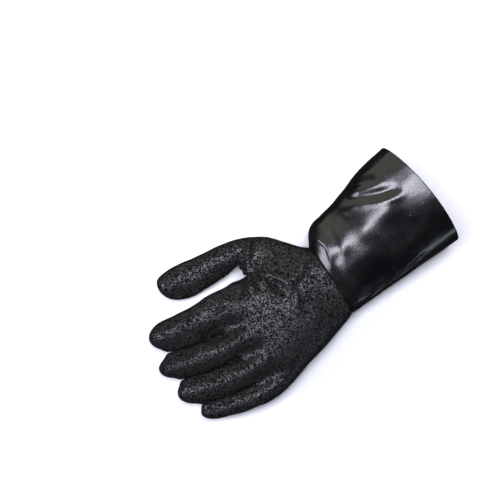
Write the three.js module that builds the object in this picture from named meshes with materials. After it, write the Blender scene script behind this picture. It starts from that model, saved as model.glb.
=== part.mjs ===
// A left-hand PVC coated work glove with a gauntlet cuff, lying palm down on a surface.
// +Y runs from the cuff to the fingertips, +X is the thumb side and +Z the back of the hand.
// The origin is the middle of the flat heel of the palm that the glove rests on.
// Two pieces: the hand, dipped a second time in rough PVC, and the smooth gauntlet cuff, whose
// end is lapped inside the hand's edge. Both are open shells with an even wall.

import * as THREE from 'three';

// Driving dimensions, in millimetres.
const PALM_LENGTH = 115; // from the hand's edge at the wrist to the webs between the fingers
const PALM_WIDTH = 121; // across the knuckles
const PALM_THICKNESS = 50; // through the middle of the palm
const WRIST_WIDTH = 78;
const WRIST_THICKNESS = 51;
const FINGER_LENGTH = 73; // the middle finger, from its web to its tip
const FINGER_HEIGHT = 27; // through a finger, back to pad
const FINGER_GAP = 1.2; // between neighbouring fingers
const FINGERTIP_LENGTH = 17; // the rounded end of a finger
const FINGER_DROP = 20; // how far a fingertip's centre lies below the knuckles' centre
const THUMB_LENGTH = 106; // from the middle of its root to its tip, along the hand
const THUMB_WIDTH = 34;
const THUMB_HEIGHT = 26;
const HAND_WALL = 2;
const EDGE_WALL = 1.2; // the hand's wall at its thinned edge over the cuff
const CUFF_WALL = 1.6;
const CUFF_LENGTH = 119; // from the hand's edge to the opening
const CUFF_WIDTH = 115; // across the opening
const CUFF_HEIGHT = 72; // through the opening
const CUFF_SKEW = 5; // how far the opening's outer side lies in from the wrist's
const CUFF_SOLE = 1; // how far the cuff's underside is pressed flat
const OPENING_SLANT = 14; // how much longer the cuff is on its outer side than on the thumb's
const OPENING_BOW = 4.5; // how far the opening's top lies behind its sides
const LAP = 8; // how far the cuff reaches inside the hand
const LAP_CLEARANCE = 0.4;
const HEEL = 20; // from the hand's edge to the middle of the heel

// Sections of the palm, from the wrist to the knuckles. Those whose part is thumb carry the
// thumb's root on their thumb side. along is a share of PALM_LENGTH. spread goes from 0, the
// wrist's width, to 1, the palm's. shift is a share of PALM_WIDTH towards the thumb, and low a
// share of PALM_THICKNESS from the floor. swell raises the back by so many SWELL_STEPs, and valley
// is how deep the grooves between the fingers run into it, as a share of half the thickness there.
const PALM_SECTIONS = [
  { part: 'wrist', along: 0.0, spread: 0.0, shift: 0.006, low: 0.0, swell: 0.0, valley: 0.0 },
  { part: 'thumb', along: 0.1, spread: 0.327, shift: 0.029, low: -0.03, swell: 0.4, valley: 0.0 },
  { part: 'thumb', along: 0.205, spread: 0.407, shift: 0.012, low: -0.04, swell: 0.9, valley: 0.0 },
  { part: 'thumb', along: 0.31, spread: 0.486, shift: 0.0, low: -0.03, swell: 1.2, valley: 0.0 },
  { part: 'thumb', along: 0.43, spread: 0.574, shift: -0.012, low: 0.0, swell: 1.1, valley: 0.0 },
  { part: 'thumb', along: 0.56, spread: 0.694, shift: -0.024, low: 0.06, swell: 0.9, valley: 0.0 },
  { part: 'palm', along: 0.67, spread: 0.8, shift: -0.035, low: 0.11, swell: 0.6, valley: 0.01 },
  { part: 'palm', along: 0.78, spread: 0.873, shift: -0.049, low: 0.16, swell: 0.1, valley: 0.07 },
  { part: 'palm', along: 0.89, spread: 0.964, shift: -0.052, low: 0.2, swell: -0.6, valley: 0.24 },
  { part: 'knuckles', along: 1.0, spread: 1.0, shift: -0.052, low: 0.23, swell: -1.5, valley: 0.4 },
];
const SWELL_STEP = PALM_THICKNESS / 10;
const PALM_ROUNDNESS = 2.3; // exponent of the palm's superellipse

// The lines between the fingers, from the outside of the little finger to the outside of the
// index finger, at the webs and at the fingertips, as shares of PALM_WIDTH towards the thumb.
const SLITS = [
  { root: -0.552, tip: -0.443 },
  { root: -0.354, tip: -0.251 },
  { root: -0.114, tip: 0.017 },
  { root: 0.13, tip: 0.251 },
  { root: 0.448, tip: 0.508 },
];
const SLIT_CURVE = 1.5; // how late along the fingers the lines lean over and the fingers drop

// length is a share of FINGER_LENGTH, height of FINGER_HEIGHT and drop of FINGER_DROP.
const FINGERS = [
  { name: 'little', length: 0.84, height: 0.86, drop: 1.08 },
  { name: 'ring', length: 0.97, height: 0.97, drop: 1.0 },
  { name: 'middle', length: 1.0, height: 1.0, drop: 1.0 },
  { name: 'index', length: 0.89, height: 1.0, drop: 1.0 },
];
const FINGER_RINGS = [0.16, 0.4, 0.64, 0.88]; // along the finger's straight stretch
const TIP_RINGS = [0.0, 0.5, 0.88]; // along the rounded end

// Rings of the thumb from its root: across and along are shares of PALM_WIDTH and THUMB_LENGTH
// from the root's middle, up a share of THUMB_HEIGHT from the floor, and heading the way that it
// points, in degrees from +Y towards +X.
const THUMB_RINGS = [
  { across: 0.105, along: 0.084, up: 0.92, width: 1.39, height: 1.02, heading: 77 },
  { across: 0.18, along: 0.15, up: 0.84, width: 1.035, height: 1.0, heading: 58 },
  { across: 0.2245, along: 0.2255, up: 0.77, width: 0.76, height: 0.98, heading: 25 },
  { across: 0.237, along: 0.348, up: 0.71, width: 0.84, height: 0.94, heading: 14 },
  { across: 0.24, along: 0.527, up: 0.61, width: 0.94, height: 0.96, heading: 7 },
  { across: 0.252, along: 0.688, up: 0.53, width: 1.0, height: 1.0, heading: 3 },
  { across: 0.264, along: 0.848, up: 0.48, width: 1.035, height: 0.94, heading: -1 },
  { across: 0.285, along: 0.977, up: 0.43, width: 0.735, height: 0.68, heading: -4 },
];
const THUMB_TIP = { across: 0.293, along: 1.035, up: 0.4 };

// Folds pressed into the hand's skin, each along a straight run. Places are shares of PALM_WIDTH
// and PALM_LENGTH, width and depth shares of PALM_THICKNESS, and a negative depth is a ridge.
const HAND_FOLDS = [
  { name: 'web ridge', fromX: 0.44, fromY: 0.53, toX: 0.26, toY: 0.62, width: 0.1, depth: -0.04 },
  { name: 'web hollow', fromX: 0.45, fromY: 0.61, toX: 0.3, toY: 0.78, width: 0.12, depth: 0.05 },
  { name: 'back crease', fromX: 0.38, fromY: 0.48, toX: 0.1, toY: 0.43, width: 0.11, depth: 0.04 },
  { name: 'wrist dent', fromX: 0.23, fromY: 0.33, toX: 0.0, toY: 0.37, width: 0.12, depth: 0.03 },
];

// Sections of the cuff from the hand's edge to the opening. along is a share of CUFF_LENGTH,
// thumb, back and floor go from 0, the wrist's size, to 1, the opening's. outer is how far the
// outer side stands out from the wrist's, as a share of CUFF_SKEW.
const CUFF_SECTIONS = [
  { along: 0.0, outer: 0.0, thumb: 0.0, back: 0.0, floor: 0.0 },
  { along: 0.045, outer: 0.1, thumb: 0.22, back: 0.1, floor: 1.0 },
  { along: 0.09, outer: 0.0, thumb: 0.36, back: 0.2, floor: 1.0 },
  { along: 0.14, outer: -0.1, thumb: 0.43, back: 0.26, floor: 1.0 },
  { along: 0.21, outer: -0.2, thumb: 0.46, back: 0.3, floor: 1.0 },
  { along: 0.33, outer: -0.3, thumb: 0.53, back: 0.4, floor: 1.0 },
  { along: 0.5, outer: -0.5, thumb: 0.67, back: 0.58, floor: 1.0 },
  { along: 0.75, outer: -0.8, thumb: 0.88, back: 0.82, floor: 1.0 },
  { along: 1.0, outer: -1.0, thumb: 1.0, back: 1.0, floor: 1.0 },
];

// Folds pressed into the cuff, as for the hand, in shares of CUFF_WIDTH, CUFF_LENGTH and
// CUFF_HEIGHT. Y runs from the hand's edge, so it is negative.
const CUFF_FOLDS = [
  { name: 'kink facet', fromX: 0.13, fromY: -0.04, toX: 0.33, toY: -0.06, width: 0.06, depth: 0.03 },
  { name: 'kink ridge', fromX: 0.13, fromY: -0.12, toX: 0.36, toY: -0.13, width: 0.06, depth: -0.03 },
  { name: 'long fold', fromX: 0.53, fromY: -0.42, toX: 0.42, toY: -0.89, width: 0.08, depth: 0.03 },
  { name: 'outer crease', fromX: -0.26, fromY: -0.1, toX: -0.2, toY: -0.8, width: 0.06, depth: 0.02 },
];

const lerp = THREE.MathUtils.lerp;
const radians = THREE.MathUtils.degToRad;

// A net is { points, quads }: THREE.Vector3 points and four-sided faces that turn
// anticlockwise as seen from outside.
function addRing(net, ring) {
  return ring.map((point) => net.points.push(point) - 1);
}

// Joins two rings of point numbers with quads. Both run from the -X side over the top.
function joinRings(net, near, far) {
  near.forEach((a, k) => {
    const next = (k + 1) % near.length;
    net.quads.push([a, near[next], far[next], far[k]]);
  });
}

// Closes a tube's last ring on a point at its tip.
function closeTip(net, ring, tip) {
  const centre = net.points.push(tip) - 1;
  for (let k = 0; k < ring.length; k += 2) {
    net.quads.push([ring[k], ring[k + 1], ring[(k + 2) % ring.length], centre]);
  }
}

// Where a superellipse stands at a share c across its width, as a share of half its height.
function arch(c, roundness) {
  return Math.pow(1 - Math.pow(Math.abs(2 * c - 1), roundness), 1 / roundness);
}

// Shares across the palm of the nine points on its back: the lines between the fingers and the
// fingers' middles, with the first and last drawn in to round the sides.
function palmShares() {
  const left = SLITS[0].root;
  const width = SLITS[4].root - left;
  const lines = SLITS.map((slit) => (slit.root - left) / width);
  const shares = [];
  for (let i = 0; i < 4; i += 1) {
    shares.push(lines[i], (lines[i] + lines[i + 1]) / 2);
  }
  shares.push(lines[4]);
  const drawnIn = (1 - Math.SQRT1_2) / 2;
  shares[0] = drawnIn * (lines[1] - lines[0]);
  shares[8] = 1 - drawnIn * (lines[4] - lines[3]);
  return shares;
}

// The palm's sides, floor and top at one of its sections.
function palmFrame(section) {
  const width = lerp(WRIST_WIDTH, PALM_WIDTH, section.spread);
  const middle = section.shift * PALM_WIDTH;
  const low = section.low * PALM_THICKNESS;
  const thick = WRIST_THICKNESS + section.swell * SWELL_STEP - low;
  return { left: middle - width / 2, width, middleZ: low + thick / 2, half: thick / 2 };
}

// Twenty points round the palm: the outer side, nine on the back, the thumb side, nine below.
function palmRing(section) {
  const { left, width, middleZ, half } = palmFrame(section);
  const y = section.along * PALM_LENGTH;
  const at = (c, z) => new THREE.Vector3(left + c * width, y, z);
  const shares = palmShares();
  const height = (k) => {
    const groove = k % 2 === 0 && k > 0 && k < 8 ? section.valley * half : 0;
    return arch(shares[k], PALM_ROUNDNESS) * half - groove;
  };
  const back = shares.map((c, k) => at(c, middleZ + height(k)));
  const below = shares.map((c, k) => at(c, middleZ - height(k))).reverse();
  return [at(0, middleZ), ...back, at(1, middleZ), ...below];
}

// A ring of points round a limb's centre, square to the way that it points.
function limbRing(centre, forward, halfWidth, halfHeight, sides) {
  const side = new THREE.Vector3().crossVectors(forward, new THREE.Vector3(0, 0, 1)).normalize();
  const up = new THREE.Vector3().crossVectors(side, forward);
  return Array.from({ length: sides }, (_, k) => {
    const angle = Math.PI - ((k + 1) * 2 * Math.PI) / sides;
    return centre
      .clone()
      .addScaledVector(side, Math.cos(angle) * halfWidth)
      .addScaledVector(up, Math.sin(angle) * halfHeight);
  });
}

// The middle of finger i and the room between its two lines, at a share s from web to tip.
function fingerPlace(i, s, knuckleZ) {
  const { length, drop } = FINGERS[i];
  const reach = length * FINGER_LENGTH;
  const lean = Math.pow(s, SLIT_CURVE);
  const left = lerp(SLITS[i].root, SLITS[i].tip, lean) * PALM_WIDTH;
  const right = lerp(SLITS[i + 1].root, SLITS[i + 1].tip, lean) * PALM_WIDTH;
  const z = knuckleZ - drop * FINGER_DROP * lean;
  const centre = new THREE.Vector3((left + right) / 2, PALM_LENGTH + s * reach, z);
  return { centre, room: right - left };
}

function addFinger(net, root, i) {
  const { length, height } = FINGERS[i];
  const knuckle = palmFrame(PALM_SECTIONS[PALM_SECTIONS.length - 1]);
  const tipShare = FINGERTIP_LENGTH / (length * FINGER_LENGTH);
  const stations = [
    ...FINGER_RINGS.map((share) => ({ s: share * (1 - tipShare), size: 1 })),
    ...TIP_RINGS.map((t) => ({ s: 1 - tipShare * (1 - t), size: Math.sqrt(1 - t * t) })),
  ];
  let ring = root;
  for (const { s, size } of stations) {
    const { centre, room } = fingerPlace(i, s, knuckle.middleZ);
    const ahead = fingerPlace(i, s + 0.01, knuckle.middleZ).centre;
    const forward = ahead.sub(centre).normalize();
    const halfWidth = (size * (room * forward.y - FINGER_GAP)) / 2;
    const halfHeight = (size * height * FINGER_HEIGHT) / 2;
    const next = addRing(net, limbRing(centre, forward, halfWidth, halfHeight, root.length));
    joinRings(net, ring, next);
    ring = next;
  }
  closeTip(net, ring, fingerPlace(i, 1, knuckle.middleZ).centre);
}

function addThumb(net, root) {
  const middle = root
    .reduce((sum, n) => sum.add(net.points[n]), new THREE.Vector3())
    .divideScalar(root.length);
  const place = ({ across, along, up }) =>
    new THREE.Vector3(
      middle.x + across * PALM_WIDTH,
      middle.y + along * THUMB_LENGTH,
      up * THUMB_HEIGHT,
    );
  let ring = root;
  for (const row of THUMB_RINGS) {
    const angle = radians(row.heading);
    const forward = new THREE.Vector3(Math.sin(angle), Math.cos(angle), 0);
    const halfWidth = (row.width * THUMB_WIDTH) / 2;
    const halfHeight = (row.height * THUMB_HEIGHT) / 2;
    const next = addRing(net, limbRing(place(row), forward, halfWidth, halfHeight, root.length));
    joinRings(net, ring, next);
    ring = next;
  }
  closeTip(net, ring, place(THUMB_TIP));
}

// The hand's control net: the palm's rings, four fingers and the thumb, open at the wrist.
function handNet() {
  const net = { points: [], quads: [] };
  const rows = PALM_SECTIONS.map((section) => addRing(net, palmRing(section)));
  const back = (row, k) => rows[row][1 + k];
  const below = (row, k) => rows[row][19 - k];
  const thumbSide = (row) => rows[row][10];
  const first = PALM_SECTIONS.findIndex(({ part }) => part === 'thumb');
  const last = PALM_SECTIONS.findLastIndex(({ part }) => part === 'thumb');
  for (let r = 0; r + 1 < rows.length; r += 1) {
    rows[r].forEach((a, k) => {
      if (r >= first && r < last && (k === 9 || k === 10)) return;
      const next = (k + 1) % 20;
      net.quads.push([a, rows[r][next], rows[r + 1][next], rows[r + 1][k]]);
    });
  }

  const knuckles = rows.length - 1;
  const frame = palmFrame(PALM_SECTIONS[knuckles]);
  const webs = SLITS.map((slit) => new THREE.Vector3(slit.root * PALM_WIDTH, PALM_LENGTH, frame.middleZ));
  const sides = [rows[knuckles][0], ...addRing(net, webs.slice(1, 4)), rows[knuckles][10]];
  for (let i = 0; i < 4; i += 1) {
    const k = 2 * i;
    const root = [
      back(knuckles, k),
      back(knuckles, k + 1),
      back(knuckles, k + 2),
      sides[i + 1],
      below(knuckles, k + 2),
      below(knuckles, k + 1),
      below(knuckles, k),
      sides[i],
    ];
    addFinger(net, root, i);
  }

  const thumbRows = [];
  for (let r = last; r >= first; r -= 1) thumbRows.push(r);
  addThumb(net, [
    ...thumbRows.map((r) => back(r, 8)),
    thumbSide(first),
    ...thumbRows.reverse().map((r) => below(r, 8)),
    thumbSide(last),
  ]);
  return withoutLoosePoints(net);
}

function withoutLoosePoints({ points, quads }) {
  const used = new Set(quads.flat());
  const numbers = new Map();
  points.forEach((_, n) => used.has(n) && numbers.set(n, numbers.size));
  return {
    points: points.filter((_, n) => used.has(n)),
    quads: quads.map((quad) => quad.map((n) => numbers.get(n))),
  };
}

// Every edge of a net as { a, b, faces }, under a key that is the same from both ends.
function edgesOf({ quads }) {
  const edges = new Map();
  quads.forEach((quad, face) => {
    quad.forEach((a, k) => {
      const b = quad[(k + 1) % 4];
      const key = a < b ? `${a},${b}` : `${b},${a}`;
      if (!edges.has(key)) edges.set(key, { a, b, faces: [] });
      edges.get(key).faces.push(face);
    });
  });
  return edges;
}

// The open edges of a net, each turned as its one face turns.
function openEdges(net) {
  return [...edgesOf(net).values()].filter(({ faces }) => faces.length === 1);
}

const mean = (points) =>
  points.reduce((sum, p) => sum.add(p), new THREE.Vector3()).divideScalar(points.length);

// One Catmull-Clark step. An open edge stays a smooth curve of its own points.
function subdivide({ points, quads }) {
  const edges = edgesOf({ quads });
  const facePoints = quads.map((quad) => mean(quad.map((n) => points[n])));
  const around = points.map(() => ({ faces: [], middles: [], open: [] }));
  quads.forEach((quad, face) => quad.forEach((n) => around[n].faces.push(facePoints[face])));
  const edgePoints = new Map();
  for (const [key, { a, b, faces }] of edges) {
    const middle = mean([points[a], points[b]]);
    const open = faces.length === 1;
    edgePoints.set(key, open ? middle : mean([points[a], points[b], ...faces.map((f) => facePoints[f])]));
    for (const n of [a, b]) {
      around[n].middles.push(middle);
      if (open) around[n].open.push(middle);
    }
  }
  const moved = points.map((point, n) => {
    const { faces, middles, open } = around[n];
    if (open.length) return mean([point, mean(open)]);
    const count = faces.length;
    return mean(faces)
      .addScaledVector(mean(middles), 2)
      .addScaledVector(point, count - 3)
      .divideScalar(count);
  });
  const made = { points: [...moved, ...facePoints], quads: [] };
  const numbers = new Map();
  for (const [key, point] of edgePoints) numbers.set(key, made.points.push(point) - 1);
  const edgeNumber = (a, b) => numbers.get(a < b ? `${a},${b}` : `${b},${a}`);
  quads.forEach((quad, face) => {
    quad.forEach((n, k) => {
      const next = quad[(k + 1) % 4];
      const before = quad[(k + 3) % 4];
      made.quads.push([n, edgeNumber(n, next), points.length + face, edgeNumber(before, n)]);
    });
  });
  return made;
}

// Where each point of a net ends up on its limit surface.
function limitPoints({ points, quads }) {
  const sums = points.map(() => {
    return { edges: new THREE.Vector3(), corners: new THREE.Vector3(), faces: 0, open: [] };
  });
  for (const { a, b, faces } of edgesOf({ quads }).values()) {
    sums[a].edges.add(points[b]);
    sums[b].edges.add(points[a]);
    if (faces.length === 1) {
      sums[a].open.push(points[b]);
      sums[b].open.push(points[a]);
    }
  }
  quads.forEach((quad) => {
    quad.forEach((n, k) => {
      sums[n].corners.add(points[quad[(k + 2) % 4]]);
      sums[n].faces += 1;
    });
  });
  return points.map((point, n) => {
    const { edges, corners, faces, open } = sums[n];
    if (open.length) return point.clone().multiplyScalar(4).add(open[0]).add(open[1]).divideScalar(6);
    return point
      .clone()
      .multiplyScalar(faces * faces)
      .addScaledVector(edges, 4)
      .add(corners)
      .divideScalar(faces * (faces + 5));
  });
}

// Moves a net's points until its limit surface passes through where they stood.
function fitted(net) {
  const steps = 8;
  const points = net.points.map((p) => p.clone());
  for (let step = 0; step < steps; step += 1) {
    limitPoints({ points, quads: net.quads }).forEach((limit, n) => {
      points[n].add(net.points[n]).sub(limit);
    });
  }
  return { points, quads: net.quads };
}

function normalsOf({ points, quads }) {
  const normals = points.map(() => new THREE.Vector3());
  for (const [a, b, c, d] of quads) {
    const across = points[c].clone().sub(points[a]);
    const normal = across.cross(points[d].clone().sub(points[b]));
    for (const n of [a, b, c, d]) normals[n].add(normal);
  }
  return normals.map((normal) => normal.normalize());
}

// How deep a fold presses at a point: full along its run, fading to both sides and past its ends.
function foldDepth(point, from, to, width) {
  const run = to.clone().sub(from);
  const share = THREE.MathUtils.clamp(point.clone().sub(from).dot(run) / run.lengthSq(), 0, 1);
  const away = point.distanceTo(from.clone().addScaledVector(run, share)) / width;
  return Math.exp(-away * away);
}

// Presses folds into the upper side of a net. Their tables hold shares of the sizes given.
function pressFolds(net, folds, width, length, thickness) {
  const normals = normalsOf(net);
  net.points.forEach((point, n) => {
    const facing = Math.max(0, normals[n].z);
    const flat = new THREE.Vector3(point.x, point.y, 0);
    for (const fold of folds) {
      const from = new THREE.Vector3(fold.fromX * width, fold.fromY * length, 0);
      const to = new THREE.Vector3(fold.toX * width, fold.toY * length, 0);
      const depth = foldDepth(flat, from, to, fold.width * thickness);
      point.addScaledVector(normals[n], -depth * fold.depth * thickness * facing);
    }
  });
}

// Flattens what would reach below the surface that the glove rests on.
function rest(net) {
  for (const point of net.points) point.z = Math.max(point.z, 0);
}

// Gives a net an inner skin and rims along its open edges. wallAt(point) is the wall there.
function shell(net, wallAt) {
  const { points, quads } = net;
  const normals = normalsOf(net);
  const inner = points.map((point, n) => point.clone().addScaledVector(normals[n], -wallAt(point)));
  const count = points.length;
  const faces = [...quads, ...quads.map((quad) => quad.map((n) => n + count).reverse())];
  for (const { a, b } of openEdges(net)) faces.push([b, a, a + count, b + count]);
  return { points: [...points, ...inner], quads: faces };
}

function geometryOf({ points, quads }) {
  const geometry = new THREE.BufferGeometry();
  const places = points.flatMap((point) => point.toArray());
  geometry.setAttribute('position', new THREE.Float32BufferAttribute(places, 3));
  const triangles = [];
  for (const [a, b, c, d] of quads) {
    const shorter = points[a].distanceTo(points[c]) <= points[b].distanceTo(points[d]);
    triangles.push(...(shorter ? [a, b, c, a, c, d] : [a, b, d, b, c, d]));
  }
  geometry.setIndex(triangles);
  geometry.computeVertexNormals();
  return geometry;
}

// The hand's outer skin, one step finer than its control net and on the limit surface.
function handSkin() {
  const fine = subdivide(fitted(handNet()));
  const skin = { points: limitPoints(fine), quads: fine.quads };
  pressFolds(skin, HAND_FOLDS, PALM_WIDTH, PALM_LENGTH, PALM_THICKNESS);
  rest(skin);
  return skin;
}

// The hand's wall is thin over the cuff's lap and full from twice as far in.
function handWall(point) {
  return lerp(EDGE_WALL, HAND_WALL, THREE.MathUtils.clamp(point.y / LAP - 1, 0, 1));
}

// The inside of the hand's edge in order round the wrist, from the outer side over the back.
function wristLoop(skin) {
  const normals = normalsOf(skin);
  const next = new Map(openEdges(skin).map(({ a, b }) => [a, b]));
  const start = [...next.keys()].sort((a, b) => skin.points[a].x - skin.points[b].x)[0];
  const loop = [];
  for (let n = start; loop.length < next.size; n = next.get(n)) {
    const normal = normals[n].clone().setY(0).normalize();
    loop.push(skin.points[n].clone().addScaledVector(normal, -(EDGE_WALL + LAP_CLEARANCE)));
  }
  return loop;
}

// The cuff's skin: a ring inside the hand's edge, then one for each of its sections. Each keeps
// the wrist's outline, stretched between its own sides, floor and top.
function cuffSkin(loop) {
  const box = new THREE.Box3().setFromPoints(loop);
  const size = box.getSize(new THREE.Vector3());
  const shares = loop.map((p) => ({ across: (p.x - box.min.x) / size.x, up: (p.z - box.min.z) / size.z }));
  const net = { points: [], quads: [] };
  const drawnIn = 1 - (2 * LAP_CLEARANCE) / WRIST_THICKNESS;
  const middle = box.getCenter(new THREE.Vector3());
  let ring = addRing(
    net,
    loop.map((p) => p.clone().sub(middle).multiplyScalar(drawnIn).add(middle).setY(LAP)),
  );
  for (const section of CUFF_SECTIONS) {
    const left = box.min.x - section.outer * CUFF_SKEW;
    const right = lerp(box.max.x, box.min.x + CUFF_SKEW + CUFF_WIDTH, section.thumb);
    const floor = lerp(box.min.z, -CUFF_SOLE, section.floor);
    const top = lerp(box.max.z, CUFF_HEIGHT, section.back);
    const next = addRing(
      net,
      shares.map(({ across, up }) => {
        const bow = Math.sign(up - 0.5) * (1 - (2 * across - 1) ** 2);
        const end = CUFF_LENGTH + OPENING_SLANT * (0.5 - across) + OPENING_BOW * bow;
        const x = lerp(left, right, across);
        return new THREE.Vector3(x, -section.along * end, lerp(floor, top, up));
      }),
    );
    joinRings(net, next, ring);
    ring = next;
  }
  pressFolds(net, CUFF_FOLDS, CUFF_WIDTH, CUFF_LENGTH, CUFF_HEIGHT);
  rest(net);
  return net;
}

function mesh(name, net, material) {
  const made = new THREE.Mesh(geometryOf(net), material);
  made.name = name;
  made.position.y = -HEEL;
  return made;
}

const roughPvc = new THREE.MeshStandardMaterial({ name: 'rough pvc', color: 0x1b1b1d, roughness: 0.7 });
const smoothPvc = new THREE.MeshStandardMaterial({ name: 'smooth pvc', color: 0x101012, roughness: 0.25 });

const hand = handSkin();
const cuff = cuffSkin(wristLoop(hand));

const group = new THREE.Group();
group.name = 'pvc_coated_work_glove';
group.add(mesh('hand', shell(hand, handWall), roughPvc));
group.add(mesh('cuff', shell(cuff, () => CUFF_WALL), smoothPvc));

export default group;
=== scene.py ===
# A left-hand PVC coated work glove lying palm down: a rough dipped hand and a smooth gauntlet cuff.
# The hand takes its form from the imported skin, refined and creased. The cuff is lofted from the
# hand's edge. Lengths are in metres, +Y points to the fingertips and +X to the thumb side.

import math

import bmesh
import bpy
import numpy as np
from mathutils import Matrix, Vector, noise
from mathutils.bvhtree import BVHTree


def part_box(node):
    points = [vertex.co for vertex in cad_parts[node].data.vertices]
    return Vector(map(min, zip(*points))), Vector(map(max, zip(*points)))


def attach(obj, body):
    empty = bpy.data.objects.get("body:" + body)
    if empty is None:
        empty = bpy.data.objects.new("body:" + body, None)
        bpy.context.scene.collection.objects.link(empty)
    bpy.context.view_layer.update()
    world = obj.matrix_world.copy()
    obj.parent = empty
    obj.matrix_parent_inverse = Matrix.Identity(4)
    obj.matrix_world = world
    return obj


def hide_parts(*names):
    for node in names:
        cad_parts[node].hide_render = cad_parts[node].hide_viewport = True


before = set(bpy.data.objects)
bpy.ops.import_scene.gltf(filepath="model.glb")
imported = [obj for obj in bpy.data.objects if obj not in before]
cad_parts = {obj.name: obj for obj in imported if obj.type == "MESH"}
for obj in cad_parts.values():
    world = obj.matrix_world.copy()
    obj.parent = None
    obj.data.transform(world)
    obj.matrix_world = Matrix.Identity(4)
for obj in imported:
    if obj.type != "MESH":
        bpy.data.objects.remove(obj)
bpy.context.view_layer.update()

MM = 0.001

# Sizes from the frame.
HAND_LOW, HAND_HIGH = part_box("hand")
CUFF_LOW, CUFF_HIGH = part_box("cuff")
HAND_LENGTH = HAND_HIGH.y - HAND_LOW.y
HAND_BREADTH = HAND_HIGH.x - HAND_LOW.x
CUFF_LENGTH = 119.0 * MM  # from the hand's edge to the middle of the opening

# Walls and the lap at the wrist.
HAND_WALL = 2.0 * MM
HAND_EDGE_WALL = 0.8 * MM  # the rough coat thins to this at its edge
EDGE_TAPER = 6.0 * MM  # over this length
CUFF_WALL = 1.6 * MM
LAP_GAP = 0.25 * MM  # between the hand's edge and the cuff inside it
LAP = 7.0 * MM  # how far the cuff reaches inside the hand
REST_GAP = 0.05 * MM  # what presses level stays this far above the floor


# Camera and light

PICTURE = 500  # pixels, both ways
PIXEL = 0.982 * MM  # one pixel's size on the glove
CAMERA_DISTANCE = 1.6
LEAN_TO_THUMB = 3.0  # degrees from straight overhead
LEAN_TO_FINGERS = 4.0
# The picture's right and downward directions on the floor, in the glove's X and Y.
PICTURE_RIGHT = Vector((-0.5391, -0.8423, 0.0))
AIM = Vector((68.4, 29.9, 17.9)) * MM  # the point in the middle of the picture


def set_camera():
    back = Vector((math.sin(math.radians(LEAN_TO_THUMB)), math.sin(math.radians(LEAN_TO_FINGERS)), 0.0))
    back.z = math.sqrt(1.0 - back.length_squared)
    right = (PICTURE_RIGHT - back * PICTURE_RIGHT.dot(back)).normalized()
    up = back.cross(right)
    data = bpy.data.cameras.new("camera")
    data.sensor_width = 36.0
    data.lens = data.sensor_width * CAMERA_DISTANCE / (PICTURE * PIXEL)
    data.clip_end = 20.0
    camera = bpy.data.objects.new("camera", data)
    bpy.context.collection.objects.link(camera)
    axes = Matrix((right, up, back)).transposed().to_4x4()
    camera.matrix_world = Matrix.Translation(AIM + back * CAMERA_DISTANCE) @ axes
    bpy.context.scene.camera = camera
    bpy.context.scene.view_settings.view_transform = "Standard"


# Softboxes: direction from the glove, in degrees round from +X towards +Y and above the floor.
LAVENDER = (0.86, 0.87, 1.0)
BLUISH = (0.76, 0.87, 1.0)
WARM = (1.0, 0.98, 0.82)
SOFTBOXES = [
    {"name": "key", "round": 0, "above": 78, "away": 1.6, "width": 0.5, "length": 1.5, "watts": 48,
     "color": LAVENDER},
    {"name": "front", "round": 66, "above": 24, "away": 1.6, "width": 0.9, "length": 0.7, "watts": 27,
     "color": LAVENDER},
    {"name": "side", "round": -15, "above": 22, "away": 1.8, "width": 2.4, "length": 2.4, "watts": 22,
     "color": WARM},
    {"name": "edge", "round": 200, "above": 12, "away": 1.6, "width": 0.14, "length": 1.0, "watts": 3.5,
     "color": BLUISH},
]
LIGHT_MIDDLE = Vector((0.0, 0.0, 0.03))


def add_softboxes():
    for box in SOFTBOXES:
        data = bpy.data.lights.new(box["name"], "AREA")
        data.shape = "RECTANGLE"
        data.size = box["width"]
        data.size_y = box["length"]
        data.energy = box["watts"]
        data.color = box["color"]
        lamp = bpy.data.objects.new(box["name"], data)
        bpy.context.collection.objects.link(lamp)
        turn = math.radians(box["round"])
        rise = math.radians(box["above"])
        away = Vector((math.cos(turn) * math.cos(rise), math.sin(turn) * math.cos(rise), math.sin(rise)))
        long_way = Vector((-math.sin(turn), math.cos(turn), 0.0))
        axes = Matrix((long_way.cross(away), long_way, away)).transposed().to_4x4()
        lamp.matrix_world = Matrix.Translation(LIGHT_MIDDLE + away * box["away"]) @ axes


def set_world():
    """A pale studio that the camera sees, and a dim one that lights and reflects."""
    world = bpy.data.worlds.new("studio")
    bpy.context.scene.world = world
    world.use_nodes = True
    nodes, links = world.node_tree.nodes, world.node_tree.links
    nodes.clear()
    out = nodes.new("ShaderNodeOutputWorld")
    mix = nodes.new("ShaderNodeMixShader")
    path = nodes.new("ShaderNodeLightPath")
    seen = nodes.new("ShaderNodeBackground")
    seen.inputs["Color"].default_value = (0.9, 0.91, 0.92, 1.0)
    dim = nodes.new("ShaderNodeBackground")
    dim.inputs["Color"].default_value = (0.85, 0.88, 1.0, 1.0)
    dim.inputs["Strength"].default_value = 0.04
    links.new(path.outputs["Is Camera Ray"], mix.inputs["Fac"])
    links.new(dim.outputs["Background"], mix.inputs[1])
    links.new(seen.outputs["Background"], mix.inputs[2])
    links.new(mix.outputs["Shader"], out.inputs["Surface"])


# Materials


def new_material(name):
    material = bpy.data.materials.new(name)
    material.use_nodes = True
    tree = material.node_tree
    return material, tree, tree.nodes["Principled BSDF"]


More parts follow.
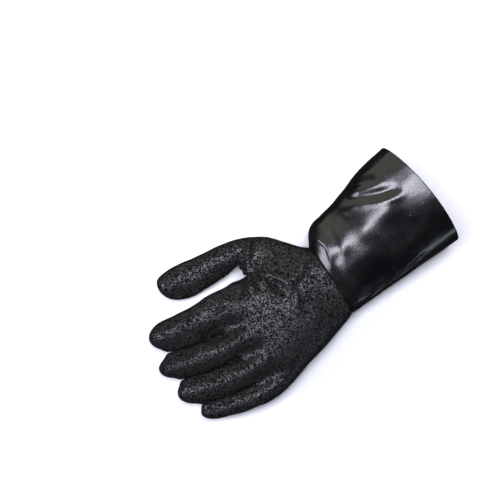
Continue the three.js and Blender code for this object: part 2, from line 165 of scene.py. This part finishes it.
def object_noise(tree, size, detail=2.0, roughness=0.5, distortion=0.0):
    """Noise whose lumps are about size metres apart, in the glove's own space."""
    place = tree.nodes.new("ShaderNodeTexCoord")
    texture = tree.nodes.new("ShaderNodeTexNoise")
    texture.inputs["Scale"].default_value = 1.0 / size
    texture.inputs["Detail"].default_value = detail
    texture.inputs["Roughness"].default_value = roughness
    texture.inputs["Distortion"].default_value = distortion
    tree.links.new(place.outputs["Object"], texture.inputs["Vector"])
    return texture.outputs["Fac"]


def ramp(tree, value, stops):
    """Runs a value through a colour ramp of (place, colour) stops."""
    node = tree.nodes.new("ShaderNodeValToRGB")
    elements = node.color_ramp.elements
    while len(elements) < len(stops):
        elements.new(0.5)
    for element, (place, color) in zip(elements, stops):
        element.position = place
        element.color = color if len(color) == 4 else (*color, 1.0)
    tree.links.new(value, node.inputs["Fac"])
    return node.outputs["Color"]


def grey(level):
    return (level, level, level)


def spread(tree, value, low, high, to_low, to_high):
    node = tree.nodes.new("ShaderNodeMapRange")
    node.inputs["From Min"].default_value = low
    node.inputs["From Max"].default_value = high
    node.inputs["To Min"].default_value = to_low
    node.inputs["To Max"].default_value = to_high
    tree.links.new(value, node.inputs["Value"])
    return node.outputs["Result"]


def combine(tree, operation, a, b):
    node = tree.nodes.new("ShaderNodeMath")
    node.operation = operation
    for socket, value in zip(node.inputs, (a, b)):
        if isinstance(value, (int, float)):
            socket.default_value = value
        else:
            tree.links.new(value, socket)
    return node.outputs["Value"]


def bump(tree, shader, layers):
    """Stacks (height, depth in metres, strength) layers of relief on a shader."""
    normal = None
    for height, depth, strength in layers:
        node = tree.nodes.new("ShaderNodeBump")
        node.inputs["Strength"].default_value = strength
        node.inputs["Distance"].default_value = depth
        tree.links.new(height, node.inputs["Height"])
        if normal is not None:
            tree.links.new(normal, node.inputs["Normal"])
        normal = node.outputs["Normal"]
    tree.links.new(normal, shader.inputs["Normal"])


def rough_pvc():
    """Black PVC with a sandy grain: rounded lumps about 2 mm across, parted by grooves, with painted shade
    darkening the grooves.
    """
    material, tree, shader = new_material("rough_pvc")
    worms = object_noise(tree, 2.6 * MM, detail=1.0, roughness=0.5, distortion=0.4)
    away = combine(tree, "ABSOLUTE", combine(tree, "SUBTRACT", worms, 0.5), 0.0)
    crumbs_and_groove_shade = spread(tree, away, 0.015, 0.09, 0.0, 1.0)
    grit = object_noise(tree, 0.8 * MM, detail=1.0)
    height = combine(tree, "ADD", crumbs_and_groove_shade, combine(tree, "MULTIPLY", grit, 0.6))
    # Painted shade: the colour drops to near black down in the grooves, over the lumps' own dark grey.
    color = ramp(tree, crumbs_and_groove_shade, [(0.0, grey(0.0003)), (0.4, grey(0.002)), (1.0, (0.009, 0.0094, 0.0088))])
    tree.links.new(color, shader.inputs["Base Color"])
    tree.links.new(spread(tree, grit, 0.3, 0.7, 0.2, 0.36), shader.inputs["Roughness"])
    tree.links.new(spread(tree, crumbs_and_groove_shade, 0.0, 1.0, 0.03, 0.4), shader.inputs["Specular IOR Level"])
    bump(tree, shader, [(height, 0.5 * MM, 1.0)])
    return material


def smooth_pvc():
    """Glossy black PVC with a faint orange peel and a few pinholes."""
    material, tree, shader = new_material("smooth_pvc")
    peel = object_noise(tree, 1.8 * MM, detail=2.0)
    smears = object_noise(tree, 26.0 * MM, detail=3.0, roughness=0.6)
    pits = tree.nodes.new("ShaderNodeTexVoronoi")
    pits.inputs["Scale"].default_value = 1.0 / (9.0 * MM)
    place = tree.nodes.new("ShaderNodeTexCoord")
    tree.links.new(place.outputs["Object"], pits.inputs["Vector"])
    holes = spread(tree, pits.outputs["Distance"], 0.03, 0.07, 0.0, 1.0)
    color = ramp(tree, smears, [(0.3, (0.001, 0.001, 0.0014)), (0.75, (0.003, 0.003, 0.003))])
    tree.links.new(color, shader.inputs["Base Color"])
    tree.links.new(spread(tree, smears, 0.3, 0.7, 0.21, 0.31), shader.inputs["Roughness"])
    shader.inputs["Specular IOR Level"].default_value = 0.5
    bump(tree, shader, [(peel, 0.16 * MM, 0.8), (holes, 0.2 * MM, 0.5)])
    return material


WAVE_PERIOD = 0.314  # a wave texture of scale 1 repeats after this length
RIB = 1.5 * MM
COURSE = 1.1 * MM


def knit():
    """The knitted cotton of the inside: fine ribs along the glove, crossed by courses."""
    material, tree, shader = new_material("knit")
    place = tree.nodes.new("ShaderNodeTexCoord")
    bands = []
    for direction, size in (("X", RIB), ("Y", COURSE)):
        wave = tree.nodes.new("ShaderNodeTexWave")
        wave.bands_direction = direction
        wave.inputs["Scale"].default_value = WAVE_PERIOD / size
        wave.inputs["Distortion"].default_value = 1.2
        tree.links.new(place.outputs["Object"], wave.inputs["Vector"])
        bands.append(wave.outputs["Fac"])
    height = combine(tree, "MULTIPLY", bands[0], bands[1])
    color = ramp(tree, height, [(0.0, (0.3, 0.28, 0.24)), (0.7, (0.62, 0.59, 0.53))])
    tree.links.new(color, shader.inputs["Base Color"])
    shader.inputs["Roughness"].default_value = 0.95
    shader.inputs["Sheen Weight"].default_value = 0.2
    bump(tree, shader, [(height, 0.4 * MM, 0.8)])
    return material


def floor_material():
    material, tree, shader = new_material("floor")
    tone = object_noise(tree, 0.6, detail=2.0)
    color = ramp(tree, tone, [(0.3, (0.67, 0.672, 0.675)), (0.7, (0.7, 0.7, 0.7))])
    tree.links.new(color, shader.inputs["Base Color"])
    shader.inputs["Roughness"].default_value = 0.4
    shader.inputs["Specular IOR Level"].default_value = 0.3
    return material


# Meshes as arrays: points is (n, 3), quads a list of four point numbers


def normals_of(points, quads):
    corners = points[quads]
    faces = np.cross(corners[:, 2] - corners[:, 0], corners[:, 3] - corners[:, 1])
    normals = np.zeros_like(points)
    for k in range(4):
        np.add.at(normals, quads[:, k], faces)
    return normals / np.maximum(np.linalg.norm(normals, axis=1), 1e-12)[:, None]


def edges_of(quads):
    """Every edge once, as two point numbers."""
    sides = np.concatenate([quads[:, [k, (k + 1) % 4]] for k in range(4)])
    return np.unique(np.sort(sides, axis=1), axis=0)


def open_edges(quads):
    """The edges with one face, each turned as that face turns."""
    edges = np.concatenate([quads[:, [k, (k + 1) % 4]] for k in range(4)])
    there = {(a, b) for a, b in edges.tolist()}
    return np.array([(a, b) for a, b in edges.tolist() if (b, a) not in there])


def shell(points, quads, wall):
    """Adds an inner skin and rims. wall is each point's. Returns the points, quads and which are inside."""
    inner = points - normals_of(points, quads) * wall[:, None]
    count = len(points)
    edges = open_edges(quads)
    rims = np.stack([edges[:, 1], edges[:, 0], edges[:, 0] + count, edges[:, 1] + count], axis=1)
    faces = np.concatenate([quads, rims, quads[:, ::-1] + count])
    inside = np.arange(len(faces)) >= len(quads) + len(rims)
    return np.concatenate([points, inner]), faces, inside


def add_piece(name, points, quads, inside, outer, inner, node):
    """Makes a mesh piece that stands for a CAD node and rides on the glove."""
    mesh = bpy.data.meshes.new(name)
    mesh.from_pydata(points.tolist(), [], quads.tolist())
    mesh.materials.append(outer)
    mesh.materials.append(inner)
    mesh.polygons.foreach_set("material_index", inside.astype(int))
    mesh.polygons.foreach_set("use_smooth", [True] * len(quads))
    mesh.update()
    piece = bpy.data.objects.new(name, mesh)
    bpy.context.collection.objects.link(piece)
    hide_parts(node)
    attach(piece, "root")


def bell(distance, width):
    return np.exp(-((distance / width) ** 2))


def smooth_path(stops, steps=10):
    """A curve through the stops, as many steps between each two."""
    stops = np.array(stops, float)
    padded = np.concatenate([[2 * stops[0] - stops[1]], stops, [2 * stops[-1] - stops[-2]]])
    t = np.arange(steps)[:, None] / steps
    spans = []
    for a, b, c, d in zip(padded, padded[1:], padded[2:], padded[3:]):
        spans.append(b + t / 2 * (c - a + t * (2 * a - 5 * b + 4 * c - d + t * (3 * (b - c) + d - a))))
    return np.concatenate([*spans, stops[-1:]])


FOLD_REACH = 4.0  # widths from its path within which a fold is worked out
FOLD_FADE = 0.3  # share of its path over which a fold sets in, and fades again
FOLD_LEAST = 0.05  # what is left of that at its very ends, before smoothing
LIP_OFFSET = 1.6  # widths between a fold and its lip


def fold_height(points, normals, path, fold):
    """The height of a fold that follows a path over a skin: a dent, or a ridge if its depth is
    negative. A lip raises the skin on the left of the path and lowers it on the right if negative."""
    width = fold["width"] * MM
    span = np.linalg.norm(np.diff(path, axis=0), axis=1)
    done = np.concatenate([[0.0], np.cumsum(span)]) / span.sum()
    low = path.min(0) - FOLD_REACH * width
    high = path.max(0) + FOLD_REACH * width
    near = np.where(np.all((points > low) & (points < high), axis=1))[0]
    arms = points[near][:, None] - path[None]
    distance = np.linalg.norm(arms, axis=2)
    nearest = distance.argmin(1)
    off = distance[np.arange(len(near)), nearest]
    arm = arms[np.arange(len(near)), nearest]
    runs = np.gradient(path, axis=0)
    runs /= np.linalg.norm(runs, axis=1)[:, None]
    left = np.cross(normals[near], runs[nearest])
    signed = off * np.sign(np.sum(left * arm, axis=1))
    fade = np.clip(np.minimum(done[nearest], 1.0 - done[nearest]) / FOLD_FADE, FOLD_LEAST, 1.0)
    fade = fade * fade * (3.0 - 2.0 * fade)
    lip = fold.get("lip", 0.0)
    profile = bell(signed, width) - lip * bell(signed - LIP_OFFSET * width, width)
    height = np.zeros(len(points))
    height[near] = -fold["depth"] * MM * profile * fade
    return height


def swell_height(points, centre, swell):
    """A round rise in a skin, or a hollow if its height is negative."""
    away = np.linalg.norm(points - centre, axis=1)
    return swell["height"] * MM * bell(away, swell["size"] * MM)


def waves(points, size, seed):
    """Smooth random heights from about -1 to 1, with lumps about size apart."""
    shift = Vector((seed, 2.0 * seed, 3.0 * seed))
    return np.array([noise.noise(Vector(p) / size + shift) for p in points.tolist()])


# The hand

# Creases seen on the back. A path's stops are (across, along) shares of the hand's breadth and
# length from its outer and wrist ends. width and depth are in millimetres.
BACK_FOLDS = [
    {"name": "wrist crest", "path": [(0.6, 0.03), (0.576, 0.12), (0.558, 0.18), (0.51, 0.21), (0.45, 0.213),
                                     (0.33, 0.27)], "width": 5.0, "depth": -3.4},
    {"name": "crest fork", "path": [(0.7, 0.265), (0.63, 0.24), (0.58, 0.212), (0.54, 0.2), (0.49, 0.21)],
     "width": 2.8, "depth": -2.4},
    {"name": "fork crease", "path": [(0.68, 0.285), (0.61, 0.265), (0.55, 0.245), (0.48, 0.25)],
     "width": 3.0, "depth": 2.8},
    {"name": "second crest", "path": [(0.757, 0.285), (0.69, 0.3), (0.61, 0.308), (0.554, 0.307),
                                      (0.48, 0.285)], "width": 3.6, "depth": -2.6},
    {"name": "web hollow", "path": [(0.76, 0.31), (0.68, 0.335), (0.58, 0.345)], "width": 3.8, "depth": 2.8},
    {"name": "web ridge", "path": [(0.9, 0.24), (0.83, 0.285), (0.75, 0.325), (0.666, 0.365), (0.6, 0.39)],
     "width": 3.0, "depth": -3.6},
    {"name": "web slope", "path": [(0.79, 0.345), (0.7, 0.41), (0.62, 0.48)], "width": 6.0, "depth": 3.2},
    {"name": "index valley", "path": [(0.6, 0.48), (0.62, 0.56), (0.64, 0.64)], "width": 5.0, "depth": 1.6},
    {"name": "middle valley", "path": [(0.48, 0.47), (0.515, 0.56), (0.535, 0.65), (0.55, 0.76)],
     "width": 8.0, "depth": 4.6},
    {"name": "ring valley", "path": [(0.3, 0.46), (0.322, 0.56), (0.33, 0.65), (0.335, 0.76)], "width": 7.5,
     "depth": 4.2},
    {"name": "little valley", "path": [(0.12, 0.4), (0.135, 0.5), (0.148, 0.6), (0.155, 0.7)], "width": 6.5,
     "depth": 3.4},
]
# Round swells and hollows, placed as the folds are. size and height are in millimetres.
BACK_SWELLS = [
    {"name": "index knuckle", "across": 0.6, "along": 0.5, "size": 11.0, "height": 1.6},
    {"name": "middle knuckle", "across": 0.41, "along": 0.53, "size": 12.0, "height": 1.2},
    {"name": "ring knuckle", "across": 0.25, "along": 0.5, "size": 11.0, "height": 1.2},
    {"name": "wrist hollow", "across": 0.4, "along": 0.12, "size": 20.0, "height": -1.6},
    {"name": "back hollow", "across": 0.36, "along": 0.36, "size": 20.0, "height": -1.0},
    {"name": "index joint", "across": 0.69, "along": 0.68, "size": 9.0, "height": 1.2},
    {"name": "middle joint", "across": 0.51, "along": 0.74, "size": 9.0, "height": 1.2},
    {"name": "ring joint", "across": 0.34, "along": 0.7, "size": 8.0, "height": 1.2},
    {"name": "little joint", "across": 0.17, "along": 0.62, "size": 8.0, "height": 1.0},
]
HAND_WAVES = [(26.0 * MM, 0.9 * MM, 1.7), (11.0 * MM, 0.32 * MM, 4.3)]  # size, height, seed
REFINE = 2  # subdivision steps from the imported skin
FINGER_SWELL = 3.6 * MM  # how far the facing sides of two fingers swell towards each other at most
WEB_SWELL = 5.0 * MM  # and the thumb's root and the index finger's at the bottom of the web
SWELL_REACH = 11.0 * MM  # they do so where they are nearer than this
TOUCH_GAP = 0.05 * MM  # and each stops this far from the middle of the gap
FINGERS_END_X = 46.0 * MM  # gaps on the thumb side of this don't close
WEB_END_Y = 65.0 * MM  # except up to here
EVEN_OUT = 16  # steps that even out the swelling
DRAW_BACK = 0.88  # share of its swelling that a point keeps at each step while its faces cut others
DRAW_BACK_STEPS = 30
FACES_UP = 0.1  # a skin whose normal rises more than this counts as the upper side


def hand_skin():
    """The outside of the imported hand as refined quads: its rim and inner skin are taken off."""
    skin = bmesh.new()
    skin.from_mesh(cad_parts["hand"].data)
    bmesh.ops.remove_doubles(skin, verts=skin.verts, dist=0.01 * MM)
    rim_end = HAND_LOW.y + HAND_WALL
    rim = [face for face in skin.faces if all(v.co.y < rim_end for v in face.verts)]
    bmesh.ops.delete(skin, geom=rim, context="FACES")
    outermost = min(skin.verts, key=lambda v: v.co.x)
    keep = {outermost}
    front = [outermost]
    while front:
        vert = front.pop()
        for edge in vert.link_edges:
            other = edge.other_vert(vert)
            if other not in keep:
                keep.add(other)
                front.append(other)
    bmesh.ops.delete(skin, geom=[v for v in skin.verts if v not in keep], context="VERTS")
    turn = math.pi
    bmesh.ops.join_triangles(skin, faces=skin.faces, angle_face_threshold=turn, angle_shape_threshold=turn)
    mesh = bpy.data.meshes.new("hand_skin")
    skin.to_mesh(mesh)
    skin.free()
    carrier = bpy.data.objects.new("hand_skin", mesh)
    bpy.context.collection.objects.link(carrier)
    steps = carrier.modifiers.new("refine", "SUBSURF")
    steps.levels = steps.render_levels = REFINE
    made = bpy.data.meshes.new_from_object(carrier.evaluated_get(bpy.context.evaluated_depsgraph_get()))
    bpy.data.objects.remove(carrier)
    points = np.array([v.co for v in made.vertices], float)
    quads = np.array([list(face.vertices) for face in made.polygons])
    bpy.data.meshes.remove(made)
    return points, quads


def facing_swell(points, quads, normals):
    """How far each point swells where the sides of two fingers face each other and touch. It is drawn
    back where the faces would cut."""
    tree = BVHTree.FromPolygons(points.tolist(), quads.tolist())
    room = np.full(len(points), np.inf)
    most = np.zeros(len(points))
    for k in np.where(points[:, 1] > WEB_END_Y / 2)[0]:
        normal = Vector(normals[k])
        hit = tree.ray_cast(Vector(points[k]) + normal * REST_GAP, normal, SWELL_REACH)
        if hit[0] is not None:
            middle = (Vector(points[k]) + hit[0]) / 2
            if middle.x < FINGERS_END_X or middle.y < WEB_END_Y:
                room[k] = hit[3] + REST_GAP
                most[k] = FINGER_SWELL if middle.x < FINGERS_END_X else WEB_SWELL
    limit = np.maximum(room / 2 - TOUCH_GAP, 0.0)
    swell = np.minimum(limit, most)
    edges = edges_of(quads)
    count = np.bincount(edges.ravel(), minlength=len(points))
    for step in range(EVEN_OUT):
        total = np.bincount(edges[:, 0], swell[edges[:, 1]], len(points))
        total += np.bincount(edges[:, 1], swell[edges[:, 0]], len(points))
        swell = (swell + total / count) / 2
    swell = np.minimum(swell, limit)
    for step in range(DRAW_BACK_STEPS):
        cut = cut_points(points + normals * swell[:, None], quads)
        if not cut.any():
            break
        swell[cut] *= DRAW_BACK
    return swell


def cut_points(points, quads):
    """Says for each point whether it is a corner of a face that cuts another face."""
    tree = BVHTree.FromPolygons(points.tolist(), quads.tolist())
    pairs = np.array(tree.overlap(tree), int).reshape(-1, 2)
    shared = (quads[pairs[:, 0]][:, :, None] == quads[pairs[:, 1]][:, None, :]).any(axis=(1, 2))
    cut = np.zeros(len(points), bool)
    cut[quads[pairs[~shared]].ravel()] = True
    return cut


def on_back(points, normals, stops):
    """The places on the hand's upper side at (across, along) stops."""
    places = np.array(stops) * [HAND_BREADTH, HAND_LENGTH] + [HAND_LOW.x, HAND_LOW.y]
    upper = points[normals[:, 2] > FACES_UP]
    nearest = [((upper[:, :2] - place) ** 2).sum(1).argmin() for place in places]
    return np.column_stack([places, upper[nearest, 2]])


def add_hand(outer, inner):
    """Makes the hand and returns the points and quads of its outside."""
    points, quads = hand_skin()
    normals = normals_of(points, quads)
    height = np.zeros(len(points))
    for fold in BACK_FOLDS:
        path = on_back(points, normals, smooth_path(fold["path"]))
        height += fold_height(points, normals, path, fold)
    for swell in BACK_SWELLS:
        centre = on_back(points, normals, [(swell["across"], swell["along"])])[0]
        height += swell_height(points, centre, swell)
    for size, amount, seed in HAND_WAVES:
        height += waves(points, size, seed) * amount
    near_edge = np.clip((points[:, 1] - HAND_LOW.y) / EDGE_TAPER, 0.0, 1.0)
    points = points + normals * (height * near_edge)[:, None]
    normals = normals_of(points, quads)
    points = points + normals * facing_swell(points, quads, normals)[:, None]
    points[:, 2] = np.maximum(points[:, 2], REST_GAP)
    wall = HAND_EDGE_WALL + (HAND_WALL - HAND_EDGE_WALL) * near_edge
    thick, faces, inside = shell(points, quads, wall)
    add_piece("hand_coat", thick, faces, inside, outer, inner, "hand")
    return points, quads


# The cuff

# Sections from the hand's edge to the opening. along is a share of the cuff's length. thumb, back
# and floor go from 0, the wrist's size, to 1, the opening's, and outer is a lean of the outer side
# in millimetres.
CUFF_SECTIONS = [
    {"along": 0.0, "outer": 0.0, "thumb": 0.0, "back": 0.0, "floor": 0.0},
    {"along": 0.045, "outer": -0.5, "thumb": 0.22, "back": 0.1, "floor": 0.8},
    {"along": 0.09, "outer": 0.0, "thumb": 0.36, "back": 0.2, "floor": 1.0},
    {"along": 0.14, "outer": 0.5, "thumb": 0.43, "back": 0.26, "floor": 1.0},
    {"along": 0.21, "outer": 1.0, "thumb": 0.46, "back": 0.3, "floor": 1.0},
    {"along": 0.33, "outer": 1.5, "thumb": 0.53, "back": 0.4, "floor": 1.0},
    {"along": 0.5, "outer": 2.5, "thumb": 0.67, "back": 0.58, "floor": 1.0},
    {"along": 0.75, "outer": 4.0, "thumb": 0.88, "back": 0.82, "floor": 1.0},
    {"along": 1.0, "outer": 5.0, "thumb": 1.0, "back": 1.0, "floor": 1.0},
]
OPENING_SLANT = 14.0 * MM  # how much longer the cuff is on its outer side
OPENING_BOW = 4.5 * MM  # how far the opening's top lies behind its sides
CUFF_SOLE = 1.0 * MM  # how far the underside is pressed flat
CUFF_AROUND = 288
CUFF_ALONG = 150
LAP_RINGS = 6
SPACING_POWER = 1.35  # rings stand closer near the wrist
EDGE_INSET = 1.0 * MM  # the cuff starts from the hand's section this far inside its edge
SET_IN = 0.03  # share of the cuff's length over which its folds set in

# Folds of the cuff. A path's stops are (turn, along): turn goes round the cuff from 0 at the thumb
# side over 1 on top to 2 at the outer side, along is a share of its length. width and depth are in
# millimetres.
CUFF_FOLDS = [
    {"name": "kink ridge", "path": [(0.12, 0.03), (0.34, 0.075), (0.55, 0.1), (0.73, 0.075), (0.9, 0.03)],
     "width": 2.4, "depth": -1.0},
    {"name": "kink groove", "path": [(0.3, 0.15), (0.55, 0.18), (0.78, 0.15), (0.95, 0.08)], "width": 4.5,
     "depth": 1.1},
    {"name": "dark arc", "path": [(0.15, 0.4), (0.4, 0.55), (0.58, 0.72), (0.7, 0.86)], "width": 5.6,
     "depth": 2.0},
    {"name": "bright arc", "path": [(0.3, 0.4), (0.5, 0.56), (0.72, 0.74), (0.8, 0.88)], "width": 5.0,
     "depth": -1.4},
    {"name": "upper arc", "path": [(0.12, 0.52), (0.28, 0.65), (0.42, 0.77)], "width": 5.0, "depth": 1.2},
    {"name": "upper crest", "path": [(0.2, 0.5), (0.36, 0.62), (0.52, 0.77)], "width": 4.6, "depth": -0.8},
    {"name": "side dent", "path": [(0.2, 0.2), (0.35, 0.3), (0.4, 0.42)], "width": 7.0, "depth": 0.6},
    {"name": "outer crease", "path": [(1.8, 0.08), (1.76, 0.3), (1.74, 0.5), (1.69, 0.75)], "width": 2.4,
     "depth": 1.5, "lip": 0.7},
]
# Round swells and hollows, placed as the folds are. size and height are in millimetres.
CUFF_SWELLS = [
    {"name": "first bulge", "turn": 0.7, "along": 0.2, "size": 11.0, "height": 1.4},
    {"name": "second bulge", "turn": 0.78, "along": 0.42, "size": 13.0, "height": 1.7},
    {"name": "third bulge", "turn": 0.78, "along": 0.62, "size": 12.0, "height": 1.5},
    {"name": "side hollow", "turn": 0.4, "along": 0.28, "size": 16.0, "height": -0.7},
    {"name": "back hollow", "turn": 1.2, "along": 0.72, "size": 18.0, "height": -1.2},
]
CUFF_WAVES = [(34.0 * MM, 1.1 * MM, 7.1), (13.0 * MM, 0.3 * MM, 2.9)]


def smooth_rows(rows, key, along):
    """A table column read between its rows along a smooth curve."""
    places = np.array([row["along"] for row in rows])
    values = np.array([row[key] for row in rows])
    slopes = np.gradient(values, places)
    k = np.clip(np.searchsorted(places, along, side="right") - 1, 0, len(places) - 2)
    step = places[k + 1] - places[k]
    t = (along - places[k]) / step
    rise = values[k + 1] - values[k]
    a = slopes[k] * step - rise
    b = rise - slopes[k + 1] * step
    return values[k] + t * rise + t * (1 - t) * ((1 - t) * a + t * b)


def cross_section(points, quads, y):
    """Where a skin crosses a plane across the glove, as a closed loop of (x, z)."""
    edges = edges_of(quads)
    a, b = points[edges[:, 0]], points[edges[:, 1]]
    over = (a[:, 1] - y) * (b[:, 1] - y) < 0.0
    a, b = a[over], b[over]
    share = (y - a[:, 1]) / (b[:, 1] - a[:, 1])
    crossings = (a + (b - a) * share[:, None])[:, [0, 2]]
    middle = (crossings.min(0) + crossings.max(0)) / 2
    arms = crossings - middle
    angles = np.arctan2(arms[:, 1], arms[:, 0])
    order = np.argsort(angles)
    around = np.pi - np.arange(CUFF_AROUND) * 2 * np.pi / CUFF_AROUND
    reach = np.interp(around, angles[order], np.linalg.norm(arms, axis=1)[order], period=2 * np.pi)
    return middle + reach[:, None] * np.stack([np.cos(around), np.sin(around)], axis=1)


def drawn_in(loop, distance):
    """A closed loop moved inward, square to its run."""
    run = np.roll(loop, -1, axis=0) - np.roll(loop, 1, axis=0)
    inward = np.stack([run[:, 1], -run[:, 0]], axis=1)
    return loop + inward / np.linalg.norm(inward, axis=1)[:, None] * distance


def cuff_grid(hand_points, hand_quads):
    """The cuff's rings from the lap inside the hand to the opening, as an array (ring, round, xyz)."""
    rings = []
    for step in range(LAP_RINGS, 0, -1):
        into = LAP * step / LAP_RINGS
        wall = HAND_EDGE_WALL + (HAND_WALL - HAND_EDGE_WALL) * min(into / EDGE_TAPER, 1.0)
        loop = drawn_in(cross_section(hand_points, hand_quads, HAND_LOW.y + into), wall + LAP_GAP)
        rings.append(np.stack([loop[:, 0], np.full(CUFF_AROUND, HAND_LOW.y + into), loop[:, 1]], axis=1))
    edge = cross_section(hand_points, hand_quads, hand_points[:, 1].min() + EDGE_INSET)
    loop = drawn_in(edge, HAND_EDGE_WALL + LAP_GAP)
    low, high = loop.min(0), loop.max(0)
    across, up = ((loop - low) / (high - low)).T
    along = np.linspace(0.0, 1.0, CUFF_ALONG) ** SPACING_POWER
    tables = {key: smooth_rows(CUFF_SECTIONS, key, along) for key in ("outer", "thumb", "back", "floor")}
    bow = np.sign(up - 0.5) * (1.0 - (2.0 * across - 1.0) ** 2)
    end = CUFF_LENGTH + OPENING_SLANT * (0.5 - across) + OPENING_BOW * bow
    for k, share in enumerate(along):
        left = low[0] + tables["outer"][k] * MM
        right = high[0] + (CUFF_HIGH.x - high[0]) * tables["thumb"][k]
        floor = low[1] + (-CUFF_SOLE - low[1]) * tables["floor"][k]
        top = high[1] + (CUFF_HIGH.z - high[1]) * tables["back"][k]
        x = left + (right - left) * across
        z = floor + (top - floor) * up
        rings.append(np.stack([x, HAND_LOW.y - share * end, z], axis=1))
    return np.array(rings)


def grid_quads(rings, around):
    """Quads between closed rings, facing outward."""
    k = np.arange(rings - 1)[:, None] * around
    j = np.arange(around)[None, :]
    after = (j + 1) % around
    corners = [k + j, k + around + j, k + around + after, k + after]
    return np.stack([np.broadcast_to(c, (rings - 1, around)).ravel() for c in corners], axis=1)


def on_cuff(grid, stops):
    """The places on the cuff at (turn, along) stops."""
    path = []
    for turn, along in stops:
        k = LAP_RINGS + (CUFF_ALONG - 1) * max(along, 0.0) ** (1.0 / SPACING_POWER)
        j = (2.0 - turn) / 4.0 * CUFF_AROUND
        ring = min(int(k), len(grid) - 2)
        near = grid[ring] + (grid[ring + 1] - grid[ring]) * (k - ring)
        first = int(math.floor(j))
        start, end = near[first % CUFF_AROUND], near[(first + 1) % CUFF_AROUND]
        path.append(start + (end - start) * (j - first))
    return np.array(path)


def add_cuff(hand_points, hand_quads, outer, inner):
    grid = cuff_grid(hand_points, hand_quads)
    points = grid.reshape(-1, 3)
    quads = grid_quads(len(grid), CUFF_AROUND)
    normals = normals_of(points, quads)
    share = (HAND_LOW.y - points[:, 1]) / CUFF_LENGTH
    height = np.zeros(len(points))
    for fold in CUFF_FOLDS:
        height += fold_height(points, normals, on_cuff(grid, smooth_path(fold["path"])), fold)
    for swell in CUFF_SWELLS:
        centre = on_cuff(grid, [(swell["turn"], swell["along"])])[0]
        height += swell_height(points, centre, swell)
    for size, amount, seed in CUFF_WAVES:
        height += waves(points, size, seed) * amount
    free = np.clip(share / SET_IN, 0.0, 1.0)
    points = points + normals * (height * free)[:, None]
    points[:, 2] = np.maximum(points[:, 2], REST_GAP)
    points, faces, inside = shell(points, quads, np.full(len(points), CUFF_WALL))
    add_piece("cuff_skin", points, faces, inside, outer, inner, "cuff")


# The scene


FLOOR_REACH = 4.0


def add_floor():
    size = FLOOR_REACH
    mesh = bpy.data.meshes.new("floor")
    corners = [(-size, -size, 0.0), (size, -size, 0.0), (size, size, 0.0), (-size, size, 0.0)]
    mesh.from_pydata(corners, [], [(0, 1, 2, 3)])
    mesh.materials.append(floor_material())
    floor = bpy.data.objects.new("floor", mesh)
    bpy.context.collection.objects.link(floor)
    floor.visible_glossy = False  # the glove mirrors and is lit by the dim studio, not the floor
    floor.visible_diffuse = False


set_camera()
set_world()
add_softboxes()
add_floor()
inside_knit = knit()
hand_points, hand_quads = add_hand(rough_pvc(), inside_knit)
add_cuff(hand_points, hand_quads, smooth_pvc(), inside_knit)
